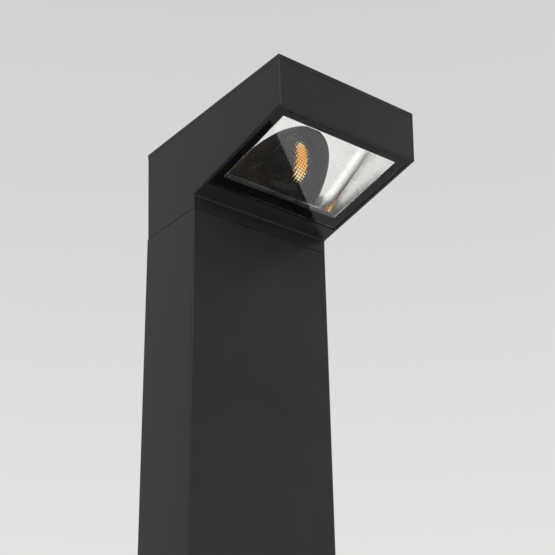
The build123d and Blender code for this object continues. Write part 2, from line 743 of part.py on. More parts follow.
def stake_places():
    """Heat-stake positions around the dome's flange, as (x, s)."""
    ring_x = DOME_X + DOME_T + DOME_FLANGE / 2
    ring_s = DOME_S + DOME_T + DOME_FLANGE / 2
    return [(ring_x * cos(radians(a)), ring_s * sin(radians(a))) for a in STAKE_ANGLES]


def reflector_dome():
    """Quarter ellipsoid shell with a flange, an upright back wall and a slot in it."""
    upper = on_roof((-FAR, FAR), (-DOME_T, FAR), (0, FAR))
    shell = roof_ellipsoid(DOME_T) & upper
    flange_n = (TRAY_T + DOME_GAP, TRAY_T + DOME_GAP + DOME_T)
    shell += ellipse_plate(DOME_T + DOME_FLANGE, flange_n)
    shell -= roof_ellipsoid(0) & on_roof((-FAR, FAR), (0, FAR), (-FAR, FAR))
    slot_n = (LAMP_N - BOARD_N / 2 - 1, LAMP_N + BOARD_N / 2 + 1)
    slot_x = (-BOARD_X / 2 - 1, LEAD_SLOT_X + LEAD_SLOT_HALF_X + DOME_SLOT_EXTRA)
    shell -= on_roof(slot_x, (-DOME_T - 1, 1), slot_n)
    for x, s in stake_places():
        shell -= ROOF * Pos(x, -s, sum(flange_n) / 2) * Cylinder(STAKE_R + DOME_GAP, 3 * DOME_T)
    return shell


def tray_inside():
    """Side view of the space under the reflector, down through the ledge."""
    back_v = LEDGE_V[0] + TRAY_GAP + TRAY_T
    front_v = LEDGE_V[1] - TRAY_GAP - TRAY_T
    floor_n = SOFFIT_T + TRAY_GAP + TRAY_T
    front_y, front_z = soffit_point(front_v, floor_n)
    roof_top = SEAM_Z + ROOF_TOP_H
    roof_front_y = ROOF_Y - (roof_top - ROOF_Z) / tan(ROOF_ANGLE)
    return [
        (ROOF_Y, ROOF_Z),
        (roof_front_y, roof_top),
        (front_y, roof_top),
        (front_y, front_z),
        soffit_point(front_v, 0),
        soffit_point(back_v, 0),
        soffit_point(back_v, floor_n),
        (ROOF_Y, soffit_height(ROOF_Y, floor_n)),
    ]


def tray_volume(outline, half_x, radius):
    """Prism of the tray with its roof corners rounded."""
    prism = extrude(Plane.YZ * outline, amount=half_x, both=True)
    upper = [edge for edge in prism.edges() if edge.center().Z > ROOF_Z + 2]
    along_x = [edge for edge in upper if abs(edge.center().X) < 1]
    along_roof = [edge for edge in upper if abs(edge.center().X) > 1 and abs((edge % 0.5).Z) < 0.9]
    return fillet(along_x + along_roof, radius)


def tray_shell():
    """Roof and walls; at the back it ends on the ledge, elsewhere above the glass."""
    inside = make_face(Polyline(*tray_inside(), close=True))
    outside = offset(inside, amount=TRAY_T, kind=Kind.INTERSECTION)
    shell = tray_volume(outside, TRAY_HALF_X + TRAY_T, TRAY_CORNER_R + TRAY_T)
    shell -= tray_volume(inside, TRAY_HALF_X, TRAY_CORNER_R)
    window_n = GLASS_SET + GLASS_T + FRIT_T + TRAY_GAP
    shell &= on_soffit(FAR, (-FAR, FAR), (window_n, FAR))
    back_v = LEDGE_V[0] + TRAY_GAP + 2 * TRAY_T
    return shell - on_soffit(FAR, (-FAR, back_v), (0, SOFFIT_T + TRAY_GAP))


def reflector_tray():
    """Satin roof and walls that reach down through the ledge to the glass."""
    tray = tray_shell()
    foot_n = SOFFIT_T + TRAY_GAP
    for side in (-1, 1):
        for v in TRAY_EAR_V:
            ear_x = sorted((side * (TRAY_HALF_X + TRAY_T / 2), side * (TRAY_EAR_U + TRAY_EAR_TIP)))
            ear_y = (-v - TRAY_EAR_HALF_V, -v + TRAY_EAR_HALF_V)
            tray += SOFFIT * block(ear_x, ear_y, (foot_n, foot_n + TRAY_T))
            tray -= SOFFIT * Pos(side * TRAY_EAR_U, -v, foot_n) * Cylinder(TRAY_SCREW_R + TRAY_GAP, 4)
    back_s = -DOME_T - DOME_GAP
    opening = roof_ellipsoid(DOME_T + DOME_GAP) & on_roof((-FAR, FAR), (back_s, FAR), (-2 * TRAY_T, FAR))
    tray -= opening
    head_n = TRAY_T + 2 * DOME_GAP + DOME_T
    for x, s in stake_places():
        tray += ROOF * Pos(0, -s, 0) * post(x, 0, STAKE_R, STAKE_FOOT_N, STAKE_TOP_N)
        tray += ROOF * Pos(0, -s, 0) * post(x, 0, STAKE_HEAD_R, head_n, head_n + STAKE_HEAD_H)
    return tray


def reflector_screws():
    length = TRAY_T + TRAY_GAP + TRAY_SCREW_DEPTH - END_PLAY
    screw = pan_screw(TRAY_SCREW_R, length, TRAY_SCREW_HEAD_R, TRAY_SCREW_HEAD_H)
    seat = SOFFIT_T + TRAY_GAP + TRAY_T
    return [
        SOFFIT * Pos(side * TRAY_EAR_U, -v, seat) * screw
        for side in (-1, 1)
        for v in TRAY_EAR_V
    ]


# ---------------------------------------------------------------- lamp
def board_screw_cutter(radius, depth):
    """Holes of the two lamp board screws, normal to the board."""
    hole = Rot(90, 0, 0) * Cylinder(radius, depth)
    return [ROOF * Pos(side * BOARD_SCREW_X, -BRACKET_FRONT_S, LAMP_N) * hole for side in (-1, 1)]


def led_bracket():
    """Bent plate: leaning lamp seat and a foot that runs back over its bosses."""
    half_x = BRACKET_HALF_X
    back_s = BRACKET_FRONT_S - BRACKET_T
    foot_front_y = roof_point(0, BRACKET_FRONT_S, 0).Y - BRACKET_NOSE
    foot_z = (BRACKET_FOOT_Z, BRACKET_FOOT_Z + BRACKET_T)
    bracket = on_roof((-half_x, half_x), (back_s, BRACKET_FRONT_S), (-1, BRACKET_TOP_N))
    bracket &= block((-HALF_W, HALF_W), (foot_front_y, HALF_D), (BRACKET_FOOT_Z, HEIGHT))
    foot_y = (foot_front_y, BRACKET_SCREW[1] + BRACKET_REACH)
    bracket += block((-half_x, half_x), foot_y, foot_z)
    for side in (-1, 1):
        bracket -= post(side * BRACKET_SCREW[0], BRACKET_SCREW[1], BRACKET_HOLE_R, *foot_z)
    for cutter in board_screw_cutter(SMALL_SCREW_R + FIT, 3 * BRACKET_T):
        bracket -= cutter
    slot_x = (LEAD_SLOT_X - LEAD_SLOT_HALF_X, LEAD_SLOT_X + LEAD_SLOT_HALF_X)
    slot_n = (LAMP_N - LEAD_SLOT_HALF_N, LAMP_N + LEAD_SLOT_HALF_N)
    return bracket - on_roof(slot_x, (-3 * BRACKET_T, 0), slot_n)


def board_plate(s_range, hole_r, shrink=0):
    """Rectangular plate at the lamp's place with its two screw holes."""
    half_n = BOARD_N / 2 - shrink
    half_x = BOARD_X / 2 - shrink
    plate = on_roof((-half_x, half_x), s_range, (LAMP_N - half_n, LAMP_N + half_n))
    for cutter in board_screw_cutter(hole_r, 4 * BRACKET_T):
        plate -= cutter
    return plate


def thermal_pad():
    return board_plate((BRACKET_FRONT_S, BOARD_BACK_S), THERMAL_HOLE_R, shrink=THERMAL_INSET)


def led_board():
    return board_plate((BOARD_BACK_S, BOARD_FRONT_S), BOARD_HOLE_R)


def led_chip():
    """Round light-emitting surface on the board."""
    middle = BOARD_FRONT_S + LAMP_T / 2
    return ROOF * Pos(0, -middle, LAMP_N) * Rot(90, 0, 0) * Cylinder(LAMP_R, LAMP_T)


def led_screws():
    screw = pan_screw(SMALL_SCREW_R, SMALL_SCREW_LENGTH, BOARD_SCREW_HEAD_R, BOARD_SCREW_HEAD_H)
    return [
        ROOF * Pos(side * BOARD_SCREW_X, -BOARD_FRONT_S, LAMP_N) * Rot(90, 0, 0) * screw
        for side in (-1, 1)
    ]


def bracket_screws():
    screw = pan_screw(
        BRACKET_SCREW_R, BRACKET_SCREW_LENGTH, BRACKET_SCREW_HEAD_R, BRACKET_SCREW_HEAD_H
    )
    seat = BRACKET_FOOT_Z + BRACKET_T
    return [Pos(side * BRACKET_SCREW[0], BRACKET_SCREW[1], seat) * screw for side in (-1, 1)]


def round_tube(path, radius):
    """Round solid along a path of straight runs and tangent arcs."""
    return sweep(Plane(path @ 0, z_dir=path % 0) * Circle(radius), path=path)


def led_leads():
    """Two wires: off the board, through the bracket's slot, to the driver."""
    leads = []
    for offset_n in LEAD_OFFSETS:
        n = LAMP_N + offset_n
        lift = BOARD_FRONT_S + LEAD_R
        driver_z = DRIVER_Z[0] + LEAD_DRIVER_RISE + offset_n
        driver_end = Vector(LEAD_SLOT_X, DRIVER_Y[0], driver_z)
        route = [
            roof_point(LEAD_PAD_X + LEAD_R, lift, n),
            roof_point(LEAD_SLOT_X, lift, n),
            roof_point(LEAD_SLOT_X, lift - LEAD_BACK_RUN, n),
            driver_end - Vector(0, LEAD_DRIVER_RUN, 0),
            driver_end,
        ]
        bends = [LEAD_BEND_R, LEAD_END_BEND_R, LEAD_END_BEND_R]
        leads.append(round_tube(FilletPolyline(*route, radius=bends), LEAD_R))
    return leads


# ---------------------------------------------------------------- driver
def driver():
    """Flat case with two fixing ears level with its back."""
    body = block((-DRIVER_HALF_X, DRIVER_HALF_X), DRIVER_Y, DRIVER_Z)
    body = fillet(body.edges().filter_by(Axis.Y), DRIVER_CORNER_R)
    middle = sum(DRIVER_Z) / 2
    ear_y = (DRIVER_Y[1] - DRIVER_EAR_T, DRIVER_Y[1])
    ear_z = (middle - DRIVER_EAR_HALF_Z, middle + DRIVER_EAR_HALF_Z)
    body += block((-DRIVER_EAR_X, DRIVER_EAR_X), ear_y, ear_z)
    for side in (-1, 1):
        hole = Rot(90, 0, 0) * Cylinder(DRIVER_HOLE_R, 4 * DRIVER_EAR_T)
        body -= Pos(side * DRIVER_SCREW_X, DRIVER_Y[1], middle) * hole
    return body


def driver_screws():
    screw = pan_screw(SMALL_SCREW_R, SMALL_SCREW_LENGTH, DRIVER_SCREW_HEAD_R, DRIVER_SCREW_HEAD_H)
    seat = DRIVER_Y[1] - DRIVER_EAR_T
    middle = sum(DRIVER_Z) / 2
    return [facing_front(side * DRIVER_SCREW_X, seat, middle) * screw for side in (-1, 1)]


# ---------------------------------------------------------------- connection gear
def box_fix_heights():
    return (BOX_Z[0] + BOX_FIX_Z, BOX_Z[1] - BOX_FIX_Z)


def gear_tray():
    """Sheet strip that stands on the foot by two bent tabs."""
    back_y = GEAR_Y + GEAR_T
    strip = block((-GEAR_HALF_X, GEAR_HALF_X), (GEAR_Y, back_y), (FOOT_TOP, GEAR_TOP))
    strip = fillet(strip.edges().filter_by(Axis.Y).group_by(Axis.Z)[-1], GEAR_TOP_R)
    gap = GEAR_FOOT_X[0]
    strip -= block((-gap, gap), (GEAR_Y - 1, back_y + 1), (0, FOOT_TOP + GEAR_FOOT_SLOT))
    foot_z = (FOOT_TOP, FOOT_TOP + GEAR_T)
    for side in (-1, 1):
        foot_x = sorted((side * GEAR_FOOT_X[0], side * GEAR_FOOT_X[1]))
        strip += block(foot_x, (GEAR_FOOT_FRONT, back_y), foot_z)
        strip -= post(side * GEAR_SCREW[0], GEAR_SCREW[1], GEAR_HOLE_R, *foot_z)
    for z in box_fix_heights():
        strip -= facing_front(0, GEAR_Y, z) * Cylinder(BOX_FIX_HOLE_R, 4 * GEAR_T)
    return strip


def gear_screws():
    screw = pan_screw(GEAR_SCREW_R - FIT, GEAR_SCREW_LENGTH, GEAR_SCREW_HEAD_R, GEAR_SCREW_HEAD_H)
    seat = FOOT_TOP + GEAR_T
    return [Pos(side * GEAR_SCREW[0], GEAR_SCREW[1], seat) * screw for side in (-1, 1)]


def box_corner_places():
    x = BOX_HALF_X - BOX_SCREW_INSET
    heights = (BOX_Z[0] + BOX_SCREW_INSET, BOX_Z[1] - BOX_SCREW_INSET)
    return [(side * x, z) for side in (-1, 1) for z in heights]


def connection_box():
    """Open-fronted box with four screw bosses and a gland hole at each end."""
    shell = block((-BOX_HALF_X, BOX_HALF_X), BOX_Y, BOX_Z)
    shell = fillet(shell.edges().filter_by(Axis.Y), BOX_CORNER_R)
    inner_x = BOX_HALF_X - BOX_WALL
    inner_z = (BOX_Z[0] + BOX_WALL, BOX_Z[1] - BOX_WALL)
    shell -= block((-inner_x, inner_x), (BOX_Y[0] - 1, BOX_Y[1] - BOX_WALL), inner_z)
    depth = BOX_Y[1] - BOX_Y[0]
    for x, z in box_corner_places():
        shell += facing_front(x, sum(BOX_Y) / 2, z) * Cylinder(BOX_BOSS_R, depth)
    for x, z in box_corner_places():
        shell -= facing_front(x, BOX_Y[0], z) * Cylinder(BOX_LID_SCREW_R + FIT, BOX_PILOT_DEPTH * 2)
    for z in BOX_Z:
        shell -= post(*GLAND_AT, GLAND_R, z - 2 * BOX_WALL, z + 2 * BOX_WALL)
    for z in box_fix_heights():
        shell -= facing_front(0, BOX_Y[1], z) * Cylinder(BOX_FIX_HOLE_R, 3 * BOX_WALL)
    return shell


def box_seal():
    """Flat seal between the box and its lid."""
    edge = BOX_SEAL_EDGE
    y_range = (BOX_Y[0] - BOX_SEAL_T, BOX_Y[0])
    outer_x = BOX_HALF_X - edge
    inner_x = BOX_HALF_X - BOX_WALL + edge
    ring = block((-outer_x, outer_x), y_range, (BOX_Z[0] + edge, BOX_Z[1] - edge))
    ring = fillet(ring.edges().filter_by(Axis.Y), BOX_CORNER_R - edge)
    inner_z = (BOX_Z[0] + BOX_WALL - edge, BOX_Z[1] - BOX_WALL + edge)
    return ring - block((-inner_x, inner_x), (y_range[0] - 1, y_range[1] + 1), inner_z)


def box_lid():
    back = BOX_Y[0] - BOX_SEAL_T
    plate = block((-BOX_HALF_X, BOX_HALF_X), (back - BOX_LID_T, back), BOX_Z)
    plate = fillet(plate.edges().filter_by(Axis.Y), BOX_CORNER_R)
    for x, z in box_corner_places():
        plate -= facing_front(x, back, z) * Cylinder(BOX_LID_HOLE_R, 4 * BOX_LID_T)
    return plate


def box_lid_screws():
    length = BOX_LID_T + BOX_SEAL_T + BOX_PILOT_DEPTH - 1
    screw = pan_screw(BOX_LID_SCREW_R, length, BOX_LID_SCREW_HEAD_R, BOX_LID_SCREW_HEAD_H)
    seat = BOX_Y[0] - BOX_SEAL_T - BOX_LID_T
    return [facing_front(x, seat, z) * screw for x, z in box_corner_places()]


def box_screws():
    length = BOX_WALL + 2 * GEAR_T
    screw = pan_screw(BOX_FIX_R, length, BOX_FIX_HEAD_R, BOX_FIX_HEAD_H)
    seat = BOX_Y[1] - BOX_WALL
    return [facing_front(0, seat, z) * screw for z in box_fix_heights()]


def terminal_block():
    """Row of screw terminals on the box's back wall."""
    half_x = TERMINAL_WAYS * TERMINAL_PITCH / 2
    back = BOX_Y[1] - BOX_WALL
    y_range = (back - TERMINAL_DEPTH, back)
    middle = sum(BOX_Z) / 2
    z_range = (middle - TERMINAL_HALF_Z, middle + TERMINAL_HALF_Z)
    body = block((-half_x, half_x), y_range, z_range)
    for way in range(TERMINAL_WAYS):
        x = (way - (TERMINAL_WAYS - 1) / 2) * TERMINAL_PITCH
        body -= post(x, sum(y_range) / 2, TERMINAL_WIRE_R, *z_range)
        body -= facing_front(x, y_range[0], middle) * Cylinder(TERMINAL_DRIVE_R, TERMINAL_DEPTH / 2)
    return body


def cable_gland(wall_z, outward, bore_r):
    """Gland through a box wall: nut inside, hexagon and dome outside."""
    nut_z = -BOX_WALL - GLAND_NUT_H
    gland = extrude(Circle(GLAND_R - FIT), amount=nut_z - 1)
    gland += Pos(0, 0, nut_z) * extrude(RegularPolygon(GLAND_HEX_R, 6), amount=GLAND_NUT_H)
    gland += extrude(RegularPolygon(GLAND_HEX_R, 6), amount=GLAND_HEX_H)
    gland += Pos(0, 0, GLAND_HEX_H) * extrude(Circle(GLAND_DOME_R), amount=GLAND_DOME_H)
    gland -= Cylinder(bore_r, FAR)
    turn = Rot(0, 0, 0) if outward > 0 else Rot(180, 0, 0)
    return Pos(*GLAND_AT, wall_z) * turn * gland


def riser_cable():
    """Cable that snakes from the box up the column and into the driver."""
    gland_x, gland_y = GLAND_AT
    top_x, top_y = GROMMET_AT
    route = [(gland_x, gland_y, BOX_Z[1] - CABLE_END)]
    route += [(gland_x + dx, gland_y + dy, z) for dx, dy, z in CABLE_SWAYS]
    route += [(top_x, top_y, CABLE_GROMMET_Z), (top_x, top_y, DRIVER_Z[0])]
    path = FilletPolyline(*route, radius=[CABLE_BEND_R] * (len(route) - 2))
    return round_tube(path, CABLE_R)


# ---------------------------------------------------------------- all nodes
def main():
    os.makedirs("parts", exist_ok=True)
    save("base_gasket", base_gasket())
    save("base_plate", base_plate())
    save("column_spigot", column_spigot())
    save("spigot_screws", *spigot_screws())
    save("column_screws", *column_screws())
    save("earth_stud", earth_stud())
    save("column", column())
    save("seam_gasket", seam_gasket())
    save("head_body", head_body())
    save("head_screws", *head_screws())
    save("cable_grommet", cable_grommet())
    save("vent_plug", vent_plug())
    save("lid", lid())
    save("lid_gasket", lid_gasket())
    save("lid_screws", *lid_screws())
    save("glass", glass())
    save("glass_frit", glass_frit())
    save("glass_seal", glass_seal())
    save("reflector_tray", reflector_tray())
    save("reflector_dome", reflector_dome())
    save("reflector_screws", *reflector_screws())
    save("led_bracket", led_bracket())
    save("bracket_screws", *bracket_screws())
    save("thermal_pad", thermal_pad())
    save("led_board", led_board())
    save("led_chip", led_chip())
    save("led_screws", *led_screws())
    save("led_leads", *led_leads())
    save("driver", driver())
    save("driver_screws", *driver_screws())
    save("gear_tray", gear_tray())
    save("gear_screws", *gear_screws())
    save("connection_box", connection_box())
    save("box_screws", *box_screws())
    save("box_seal", box_seal())
    save("box_lid", box_lid())
    save("box_lid_screws", *box_lid_screws())
    save("terminal_block", terminal_block())
    save("inlet_gland", cable_gland(BOX_Z[0], -1, SUPPLY_BORE_R))
    save("outlet_gland", cable_gland(BOX_Z[1], 1, CABLE_R + FIT))
    save("riser_cable", riser_cable())


main()
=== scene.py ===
import json
from math import atan2, cos, pi, radians, sin

import bmesh
import bpy
from mathutils import Matrix, Vector


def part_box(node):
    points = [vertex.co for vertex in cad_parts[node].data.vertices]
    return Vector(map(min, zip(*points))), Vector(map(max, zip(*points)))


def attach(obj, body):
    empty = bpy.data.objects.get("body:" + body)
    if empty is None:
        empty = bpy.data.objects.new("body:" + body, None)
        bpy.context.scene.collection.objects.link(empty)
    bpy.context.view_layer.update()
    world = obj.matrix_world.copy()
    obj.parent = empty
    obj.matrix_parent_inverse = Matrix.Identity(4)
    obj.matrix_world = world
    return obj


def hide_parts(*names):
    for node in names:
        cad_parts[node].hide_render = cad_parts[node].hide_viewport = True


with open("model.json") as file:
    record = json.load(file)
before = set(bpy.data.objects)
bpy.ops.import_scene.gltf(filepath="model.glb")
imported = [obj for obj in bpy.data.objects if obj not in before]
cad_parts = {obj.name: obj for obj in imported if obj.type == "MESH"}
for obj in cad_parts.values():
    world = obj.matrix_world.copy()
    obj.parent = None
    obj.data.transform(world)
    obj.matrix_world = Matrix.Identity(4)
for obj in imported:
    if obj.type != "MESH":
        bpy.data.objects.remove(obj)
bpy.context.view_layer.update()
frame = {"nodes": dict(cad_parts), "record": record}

MM = 0.001

# The head's reference lines: the column's front face and the joint under the head.
FRONT_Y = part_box("column")[0].y
SEAM_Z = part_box("head_body")[0].z

# Soffit frame: u across, v forwards from the neck, n inwards.
SOFFIT_SLOPE = atan2(21.5, 100.3)
SOFFIT_START = Vector((0, FRONT_Y, SEAM_Z + 10.5 * MM))
GLASS_HALF_U = 57.5 * MM
GLASS_V = (14.5 * MM, 100.2 * MM)
GLASS_N = (0.4 * MM, 3.4 * MM)
GLASS_EDGE = 0.3 * MM
CLEAR_HALF_U = 50.5 * MM
CLEAR_V = (23.3 * MM, 93.4 * MM)
SHEEN_OVERLAP = 2.0 * MM     # the border's quieter gloss reaches this far into the window

# Reflector roof frame: x across, s forwards, n upwards.
ROOF_TILT = radians(28.4)
ROOF_BACK = Vector((0, FRONT_Y + 2.2 * MM, SEAM_Z + 22.9 * MM))
DOME_AXES = Vector((39.7, 71.8, 30.0)) * MM
DOME_T = 1.2 * MM
DOME_FLANGE = 5.0 * MM
FLANGE_N = (1.3 * MM, 2.5 * MM)
RINGS = 42                   # facets from the dome's tip to its back
MERIDIANS = 50               # facets from side to side over the top
GROOVE = 0.11                # part of a facet's width taken by the groove on each side
# The facets are turned like the skin of this deeper and squarer dome.
AIM_AXES = Vector((70.0, 111.0, 51.3)) * MM
AIM_POWERS = Vector((1.55, 1.93, 2.52))
PAINTED_LAMP_GLOW = 4.6              # emission strength of the phosphor's painted glow; the lamp is not lit
OUTLINE_STEPS = 48           # straight pieces in a half ellipse
WALL_FRONT_S = -0.02 * MM    # front of the dome's back wall
SLOT_X = (-17.0 * MM, 24.5 * MM)
SLOT_N = (2.0 * MM, 22.0 * MM)


# ---------------------------------------------------------------- node helpers
NOISE_RANGE = (0.3, 0.7)     # where most of a noise texture's values lie
WEAR_HIGHLIGHT_START = 0.93            # cosine between bevelled and flat normal where the edge wear and painted edge highlight end


class Nodes:
    """Small wrapper that builds one material's node tree."""

    def __init__(self, name):
        self.material = bpy.data.materials.new(name)
        self.material.use_nodes = True
        self.tree = self.material.node_tree
        self.tree.nodes.clear()
        self.output = self.add("ShaderNodeOutputMaterial")

    def add(self, kind, **values):
        node = self.tree.nodes.new(kind)
        for key, value in values.items():
            if hasattr(node, key):
                setattr(node, key, value)
            else:
                node.inputs[key.replace("_", " ")].default_value = value
        return node

    def link(self, start, end):
        self.tree.links.new(start, end)

    def noise(self, scale, detail=4.0, roughness=0.6):
        """Noise in object space, so that its size is real."""
        place = self.add("ShaderNodeTexCoord")
        texture = self.add("ShaderNodeTexNoise", Scale=scale, Detail=detail, Roughness=roughness)
        self.link(place.outputs["Object"], texture.inputs["Vector"])
        return texture.outputs["Fac"]

    def map_range(self, value, start, end):
        """Map a value from the start range to the end range."""
        node = self.add("ShaderNodeMapRange")
        for key, number in zip(("From Min", "From Max", "To Min", "To Max"), (*start, *end)):
            node.inputs[key].default_value = number
        self.link(value, node.inputs["Value"])
        return node.outputs["Result"]

    def spread(self, value, low, high):
        """Map a noise value to a range."""
        return self.map_range(value, NOISE_RANGE, (low, high))

    def tint(self, value, dark, light):
        """Colour between two tones by a 0..1 value."""
        ramp = self.add("ShaderNodeValToRGB")
        for element, place, colour in zip(ramp.color_ramp.elements, NOISE_RANGE, (dark, light)):
            element.position = place
            element.color = (*colour, 1)
        self.link(value, ramp.inputs["Fac"])
        return ramp.outputs["Color"]

    def bump(self, height, distance, strength=1.0):
        node = self.add("ShaderNodeBump", Strength=strength, Distance=distance)
        self.link(height, node.inputs["Height"])
        return node.outputs["Normal"]

    def edge_wear_and_highlight(self, radius):
        """1 on convex edges, 0 on flat faces: the mask for edge wear and a painted edge highlight."""
        node = self.add("ShaderNodeBevel", samples=4)
        node.inputs["Radius"].default_value = radius
        geometry = self.add("ShaderNodeNewGeometry")
        dot = self.add("ShaderNodeVectorMath", operation="DOT_PRODUCT")
        self.link(node.outputs["Normal"], dot.inputs[0])
        self.link(geometry.outputs["Normal"], dot.inputs[1])
        return self.map_range(dot.outputs["Value"], (WEAR_HIGHLIGHT_START, 1.0), (1.0, 0.0))

    def surface(self, **values):
        shader = self.add("ShaderNodeBsdfPrincipled")
        for key, value in values.items():
            shader.inputs[key.replace("_", " ")].default_value = value
        self.link(shader.outputs["BSDF"], self.output.inputs["Surface"])
        return shader


# ---------------------------------------------------------------- materials
def powder_coat():
    """Satin fine-texture coat: almost black, with a weak gloss and paler edges, partly edge wear and
    partly a painted edge highlight.
    """
    n = Nodes("powder_coat")
    shader = n.surface(Metallic=0.0, IOR=1.5, Specular_IOR_Level=0.21)
    cloud = n.noise(14.0, detail=3.0)
    grain = n.noise(1500.0, detail=2.0)
    peel = n.noise(420.0, detail=1.0)
    body = n.tint(cloud, (0.0130, 0.0118, 0.0132), (0.0160, 0.0146, 0.0162))
    wear_and_highlight = n.add("ShaderNodeMix", data_type="RGBA")
    n.link(n.edge_wear_and_highlight(0.6 * MM), wear_and_highlight.inputs["Factor"])
    n.link(body, wear_and_highlight.inputs[6])
    # Paler edge colour: partly edge wear, partly a painted highlight where the rounded edges catch
    # light.
    wear_and_highlight.inputs[7].default_value = (0.021, 0.0197, 0.0214, 1)
    n.link(wear_and_highlight.outputs[2], shader.inputs["Base Color"])
    n.link(n.spread(cloud, 0.27, 0.35), shader.inputs["Roughness"])
    mix = n.add("ShaderNodeMath", operation="MULTIPLY_ADD")
    mix.inputs[1].default_value = 0.5
    n.link(grain, mix.inputs[0])
    n.link(peel, mix.inputs[2])
    n.link(n.bump(mix.outputs["Value"], 0.00006, 0.35), shader.inputs["Normal"])
    return n.material


def rubber(name, dark, light, rough=0.75):
    n = Nodes(name)
    shader = n.surface(IOR=1.5)
    cloud = n.noise(60.0)
    n.link(n.tint(cloud, dark, light), shader.inputs["Base Color"])
    n.link(n.spread(cloud, rough - 0.1, rough + 0.05), shader.inputs["Roughness"])
    n.link(n.bump(n.noise(2200.0, detail=2.0), 0.0001, 0.4), shader.inputs["Normal"])
    return n.material


def plastic(name, dark, light, rough=0.4, grain=900.0, depth=0.00004):
    n = Nodes(name)
    shader = n.surface(IOR=1.46)
    cloud = n.noise(35.0)
    n.link(n.tint(cloud, dark, light), shader.inputs["Base Color"])
    n.link(n.spread(cloud, rough - 0.06, rough + 0.06), shader.inputs["Roughness"])
    n.link(n.bump(n.noise(grain, detail=2.0), depth, 0.4), shader.inputs["Normal"])
    return n.material


def metal(name, dark, light, rough=0.3, brush=(60.0, 60.0, 2500.0)):
    """Bare metal with fine drawing lines along one axis."""
    n = Nodes(name)
    shader = n.surface(Metallic=1.0)
    place = n.add("ShaderNodeTexCoord")
    stretch = n.add("ShaderNodeMapping")
    stretch.inputs["Scale"].default_value = brush
    n.link(place.outputs["Object"], stretch.inputs["Vector"])
    lines = n.add("ShaderNodeTexNoise", Scale=1.0, Detail=3.0)
    n.link(stretch.outputs["Vector"], lines.inputs["Vector"])
    n.link(n.tint(n.noise(40.0), dark, light), shader.inputs["Base Color"])
    n.link(n.spread(lines.outputs["Fac"], rough - 0.08, rough + 0.1), shader.inputs["Roughness"])
    n.link(n.bump(lines.outputs["Fac"], 0.00003, 0.3), shader.inputs["Normal"])
    return n.material


def mirror(name, shade, smooth, rough):
    """Vacuum-metallised plastic with a slight ripple."""
    n = Nodes(name)
    shader = n.surface(Metallic=1.0)
    cloud = n.noise(30.0, detail=2.0)
    dark = (0.96 * shade, 0.975 * shade, 0.96 * shade)
    n.link(n.tint(cloud, dark, (shade, shade, 0.99 * shade)), shader.inputs["Base Color"])
    n.link(n.spread(n.noise(90.0), smooth, rough), shader.inputs["Roughness"])
    n.link(n.bump(n.noise(25.0, detail=1.0), 0.0004, 0.12), shader.inputs["Normal"])
    return n.material


def glass(name, gloss):
    """Clear glass that lets the light's shadow rays through."""
    n = Nodes(name)
    shader = n.add("ShaderNodeBsdfPrincipled")
    shader.inputs["Transmission Weight"].default_value = 1.0
    shader.inputs["IOR"].default_value = 1.5
    shader.inputs["Specular Tint"].default_value = (gloss, gloss, gloss, 1)
    smear = n.noise(25.0, detail=3.0)
    n.link(n.tint(smear, (0.985, 0.992, 0.985), (0.995, 0.998, 0.995)), shader.inputs["Base Color"])
    n.link(n.spread(smear, 0.0, 0.012), shader.inputs["Roughness"])
    clear = n.add("ShaderNodeBsdfTransparent")
    path = n.add("ShaderNodeLightPath")
    mix = n.add("ShaderNodeMixShader")
    n.link(path.outputs["Is Shadow Ray"], mix.inputs["Fac"])
    n.link(shader.outputs["BSDF"], mix.inputs[1])
    n.link(clear.outputs["BSDF"], mix.inputs[2])
    n.link(mix.outputs["Shader"], n.output.inputs["Surface"])
    return n.material


def frit():
    """Black ceramic print seen through the glass: no gloss of its own."""
    n = Nodes("frit")
    shader = n.surface(Specular_IOR_Level=0.0)
    cloud = n.noise(300.0)
    n.link(n.tint(cloud, (0.0012, 0.0012, 0.0012), (0.002, 0.002, 0.002)), shader.inputs["Base Color"])
    n.link(n.spread(cloud, 0.6, 0.8), shader.inputs["Roughness"])
    return n.material


def phosphor():
    """Amber phosphor gel with a painted glow though the lamp is not lit, amber on one side and pale
    yellow on the other.
    """
    n = Nodes("phosphor")
    shader = n.surface(IOR=1.42, Emission_Strength=PAINTED_LAMP_GLOW)
    low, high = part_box("led_chip")[0].x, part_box("led_chip")[1].x
    place = n.add("ShaderNodeTexCoord")
    split = n.add("ShaderNodeSeparateXYZ")
    n.link(place.outputs["Object"], split.inputs["Vector"])
    across = n.map_range(split.outputs["X"], ((low + high) / 2, 1.5 * high), (0.0, 1.0))
    # Painted glow: emission colour from amber to pale yellow across the chip; the lamp itself is off.
    painted_glow = n.tint(across, (1.0, 0.42, 0.025), (1.0, 0.84, 0.48))
    n.link(painted_glow, shader.inputs["Emission Color"])
    cloud = n.noise(900.0)
    n.link(n.tint(cloud, (0.90, 0.42, 0.03), (0.98, 0.55, 0.06)), shader.inputs["Base Color"])
    n.link(n.spread(cloud, 0.25, 0.45), shader.inputs["Roughness"])
    return n.material


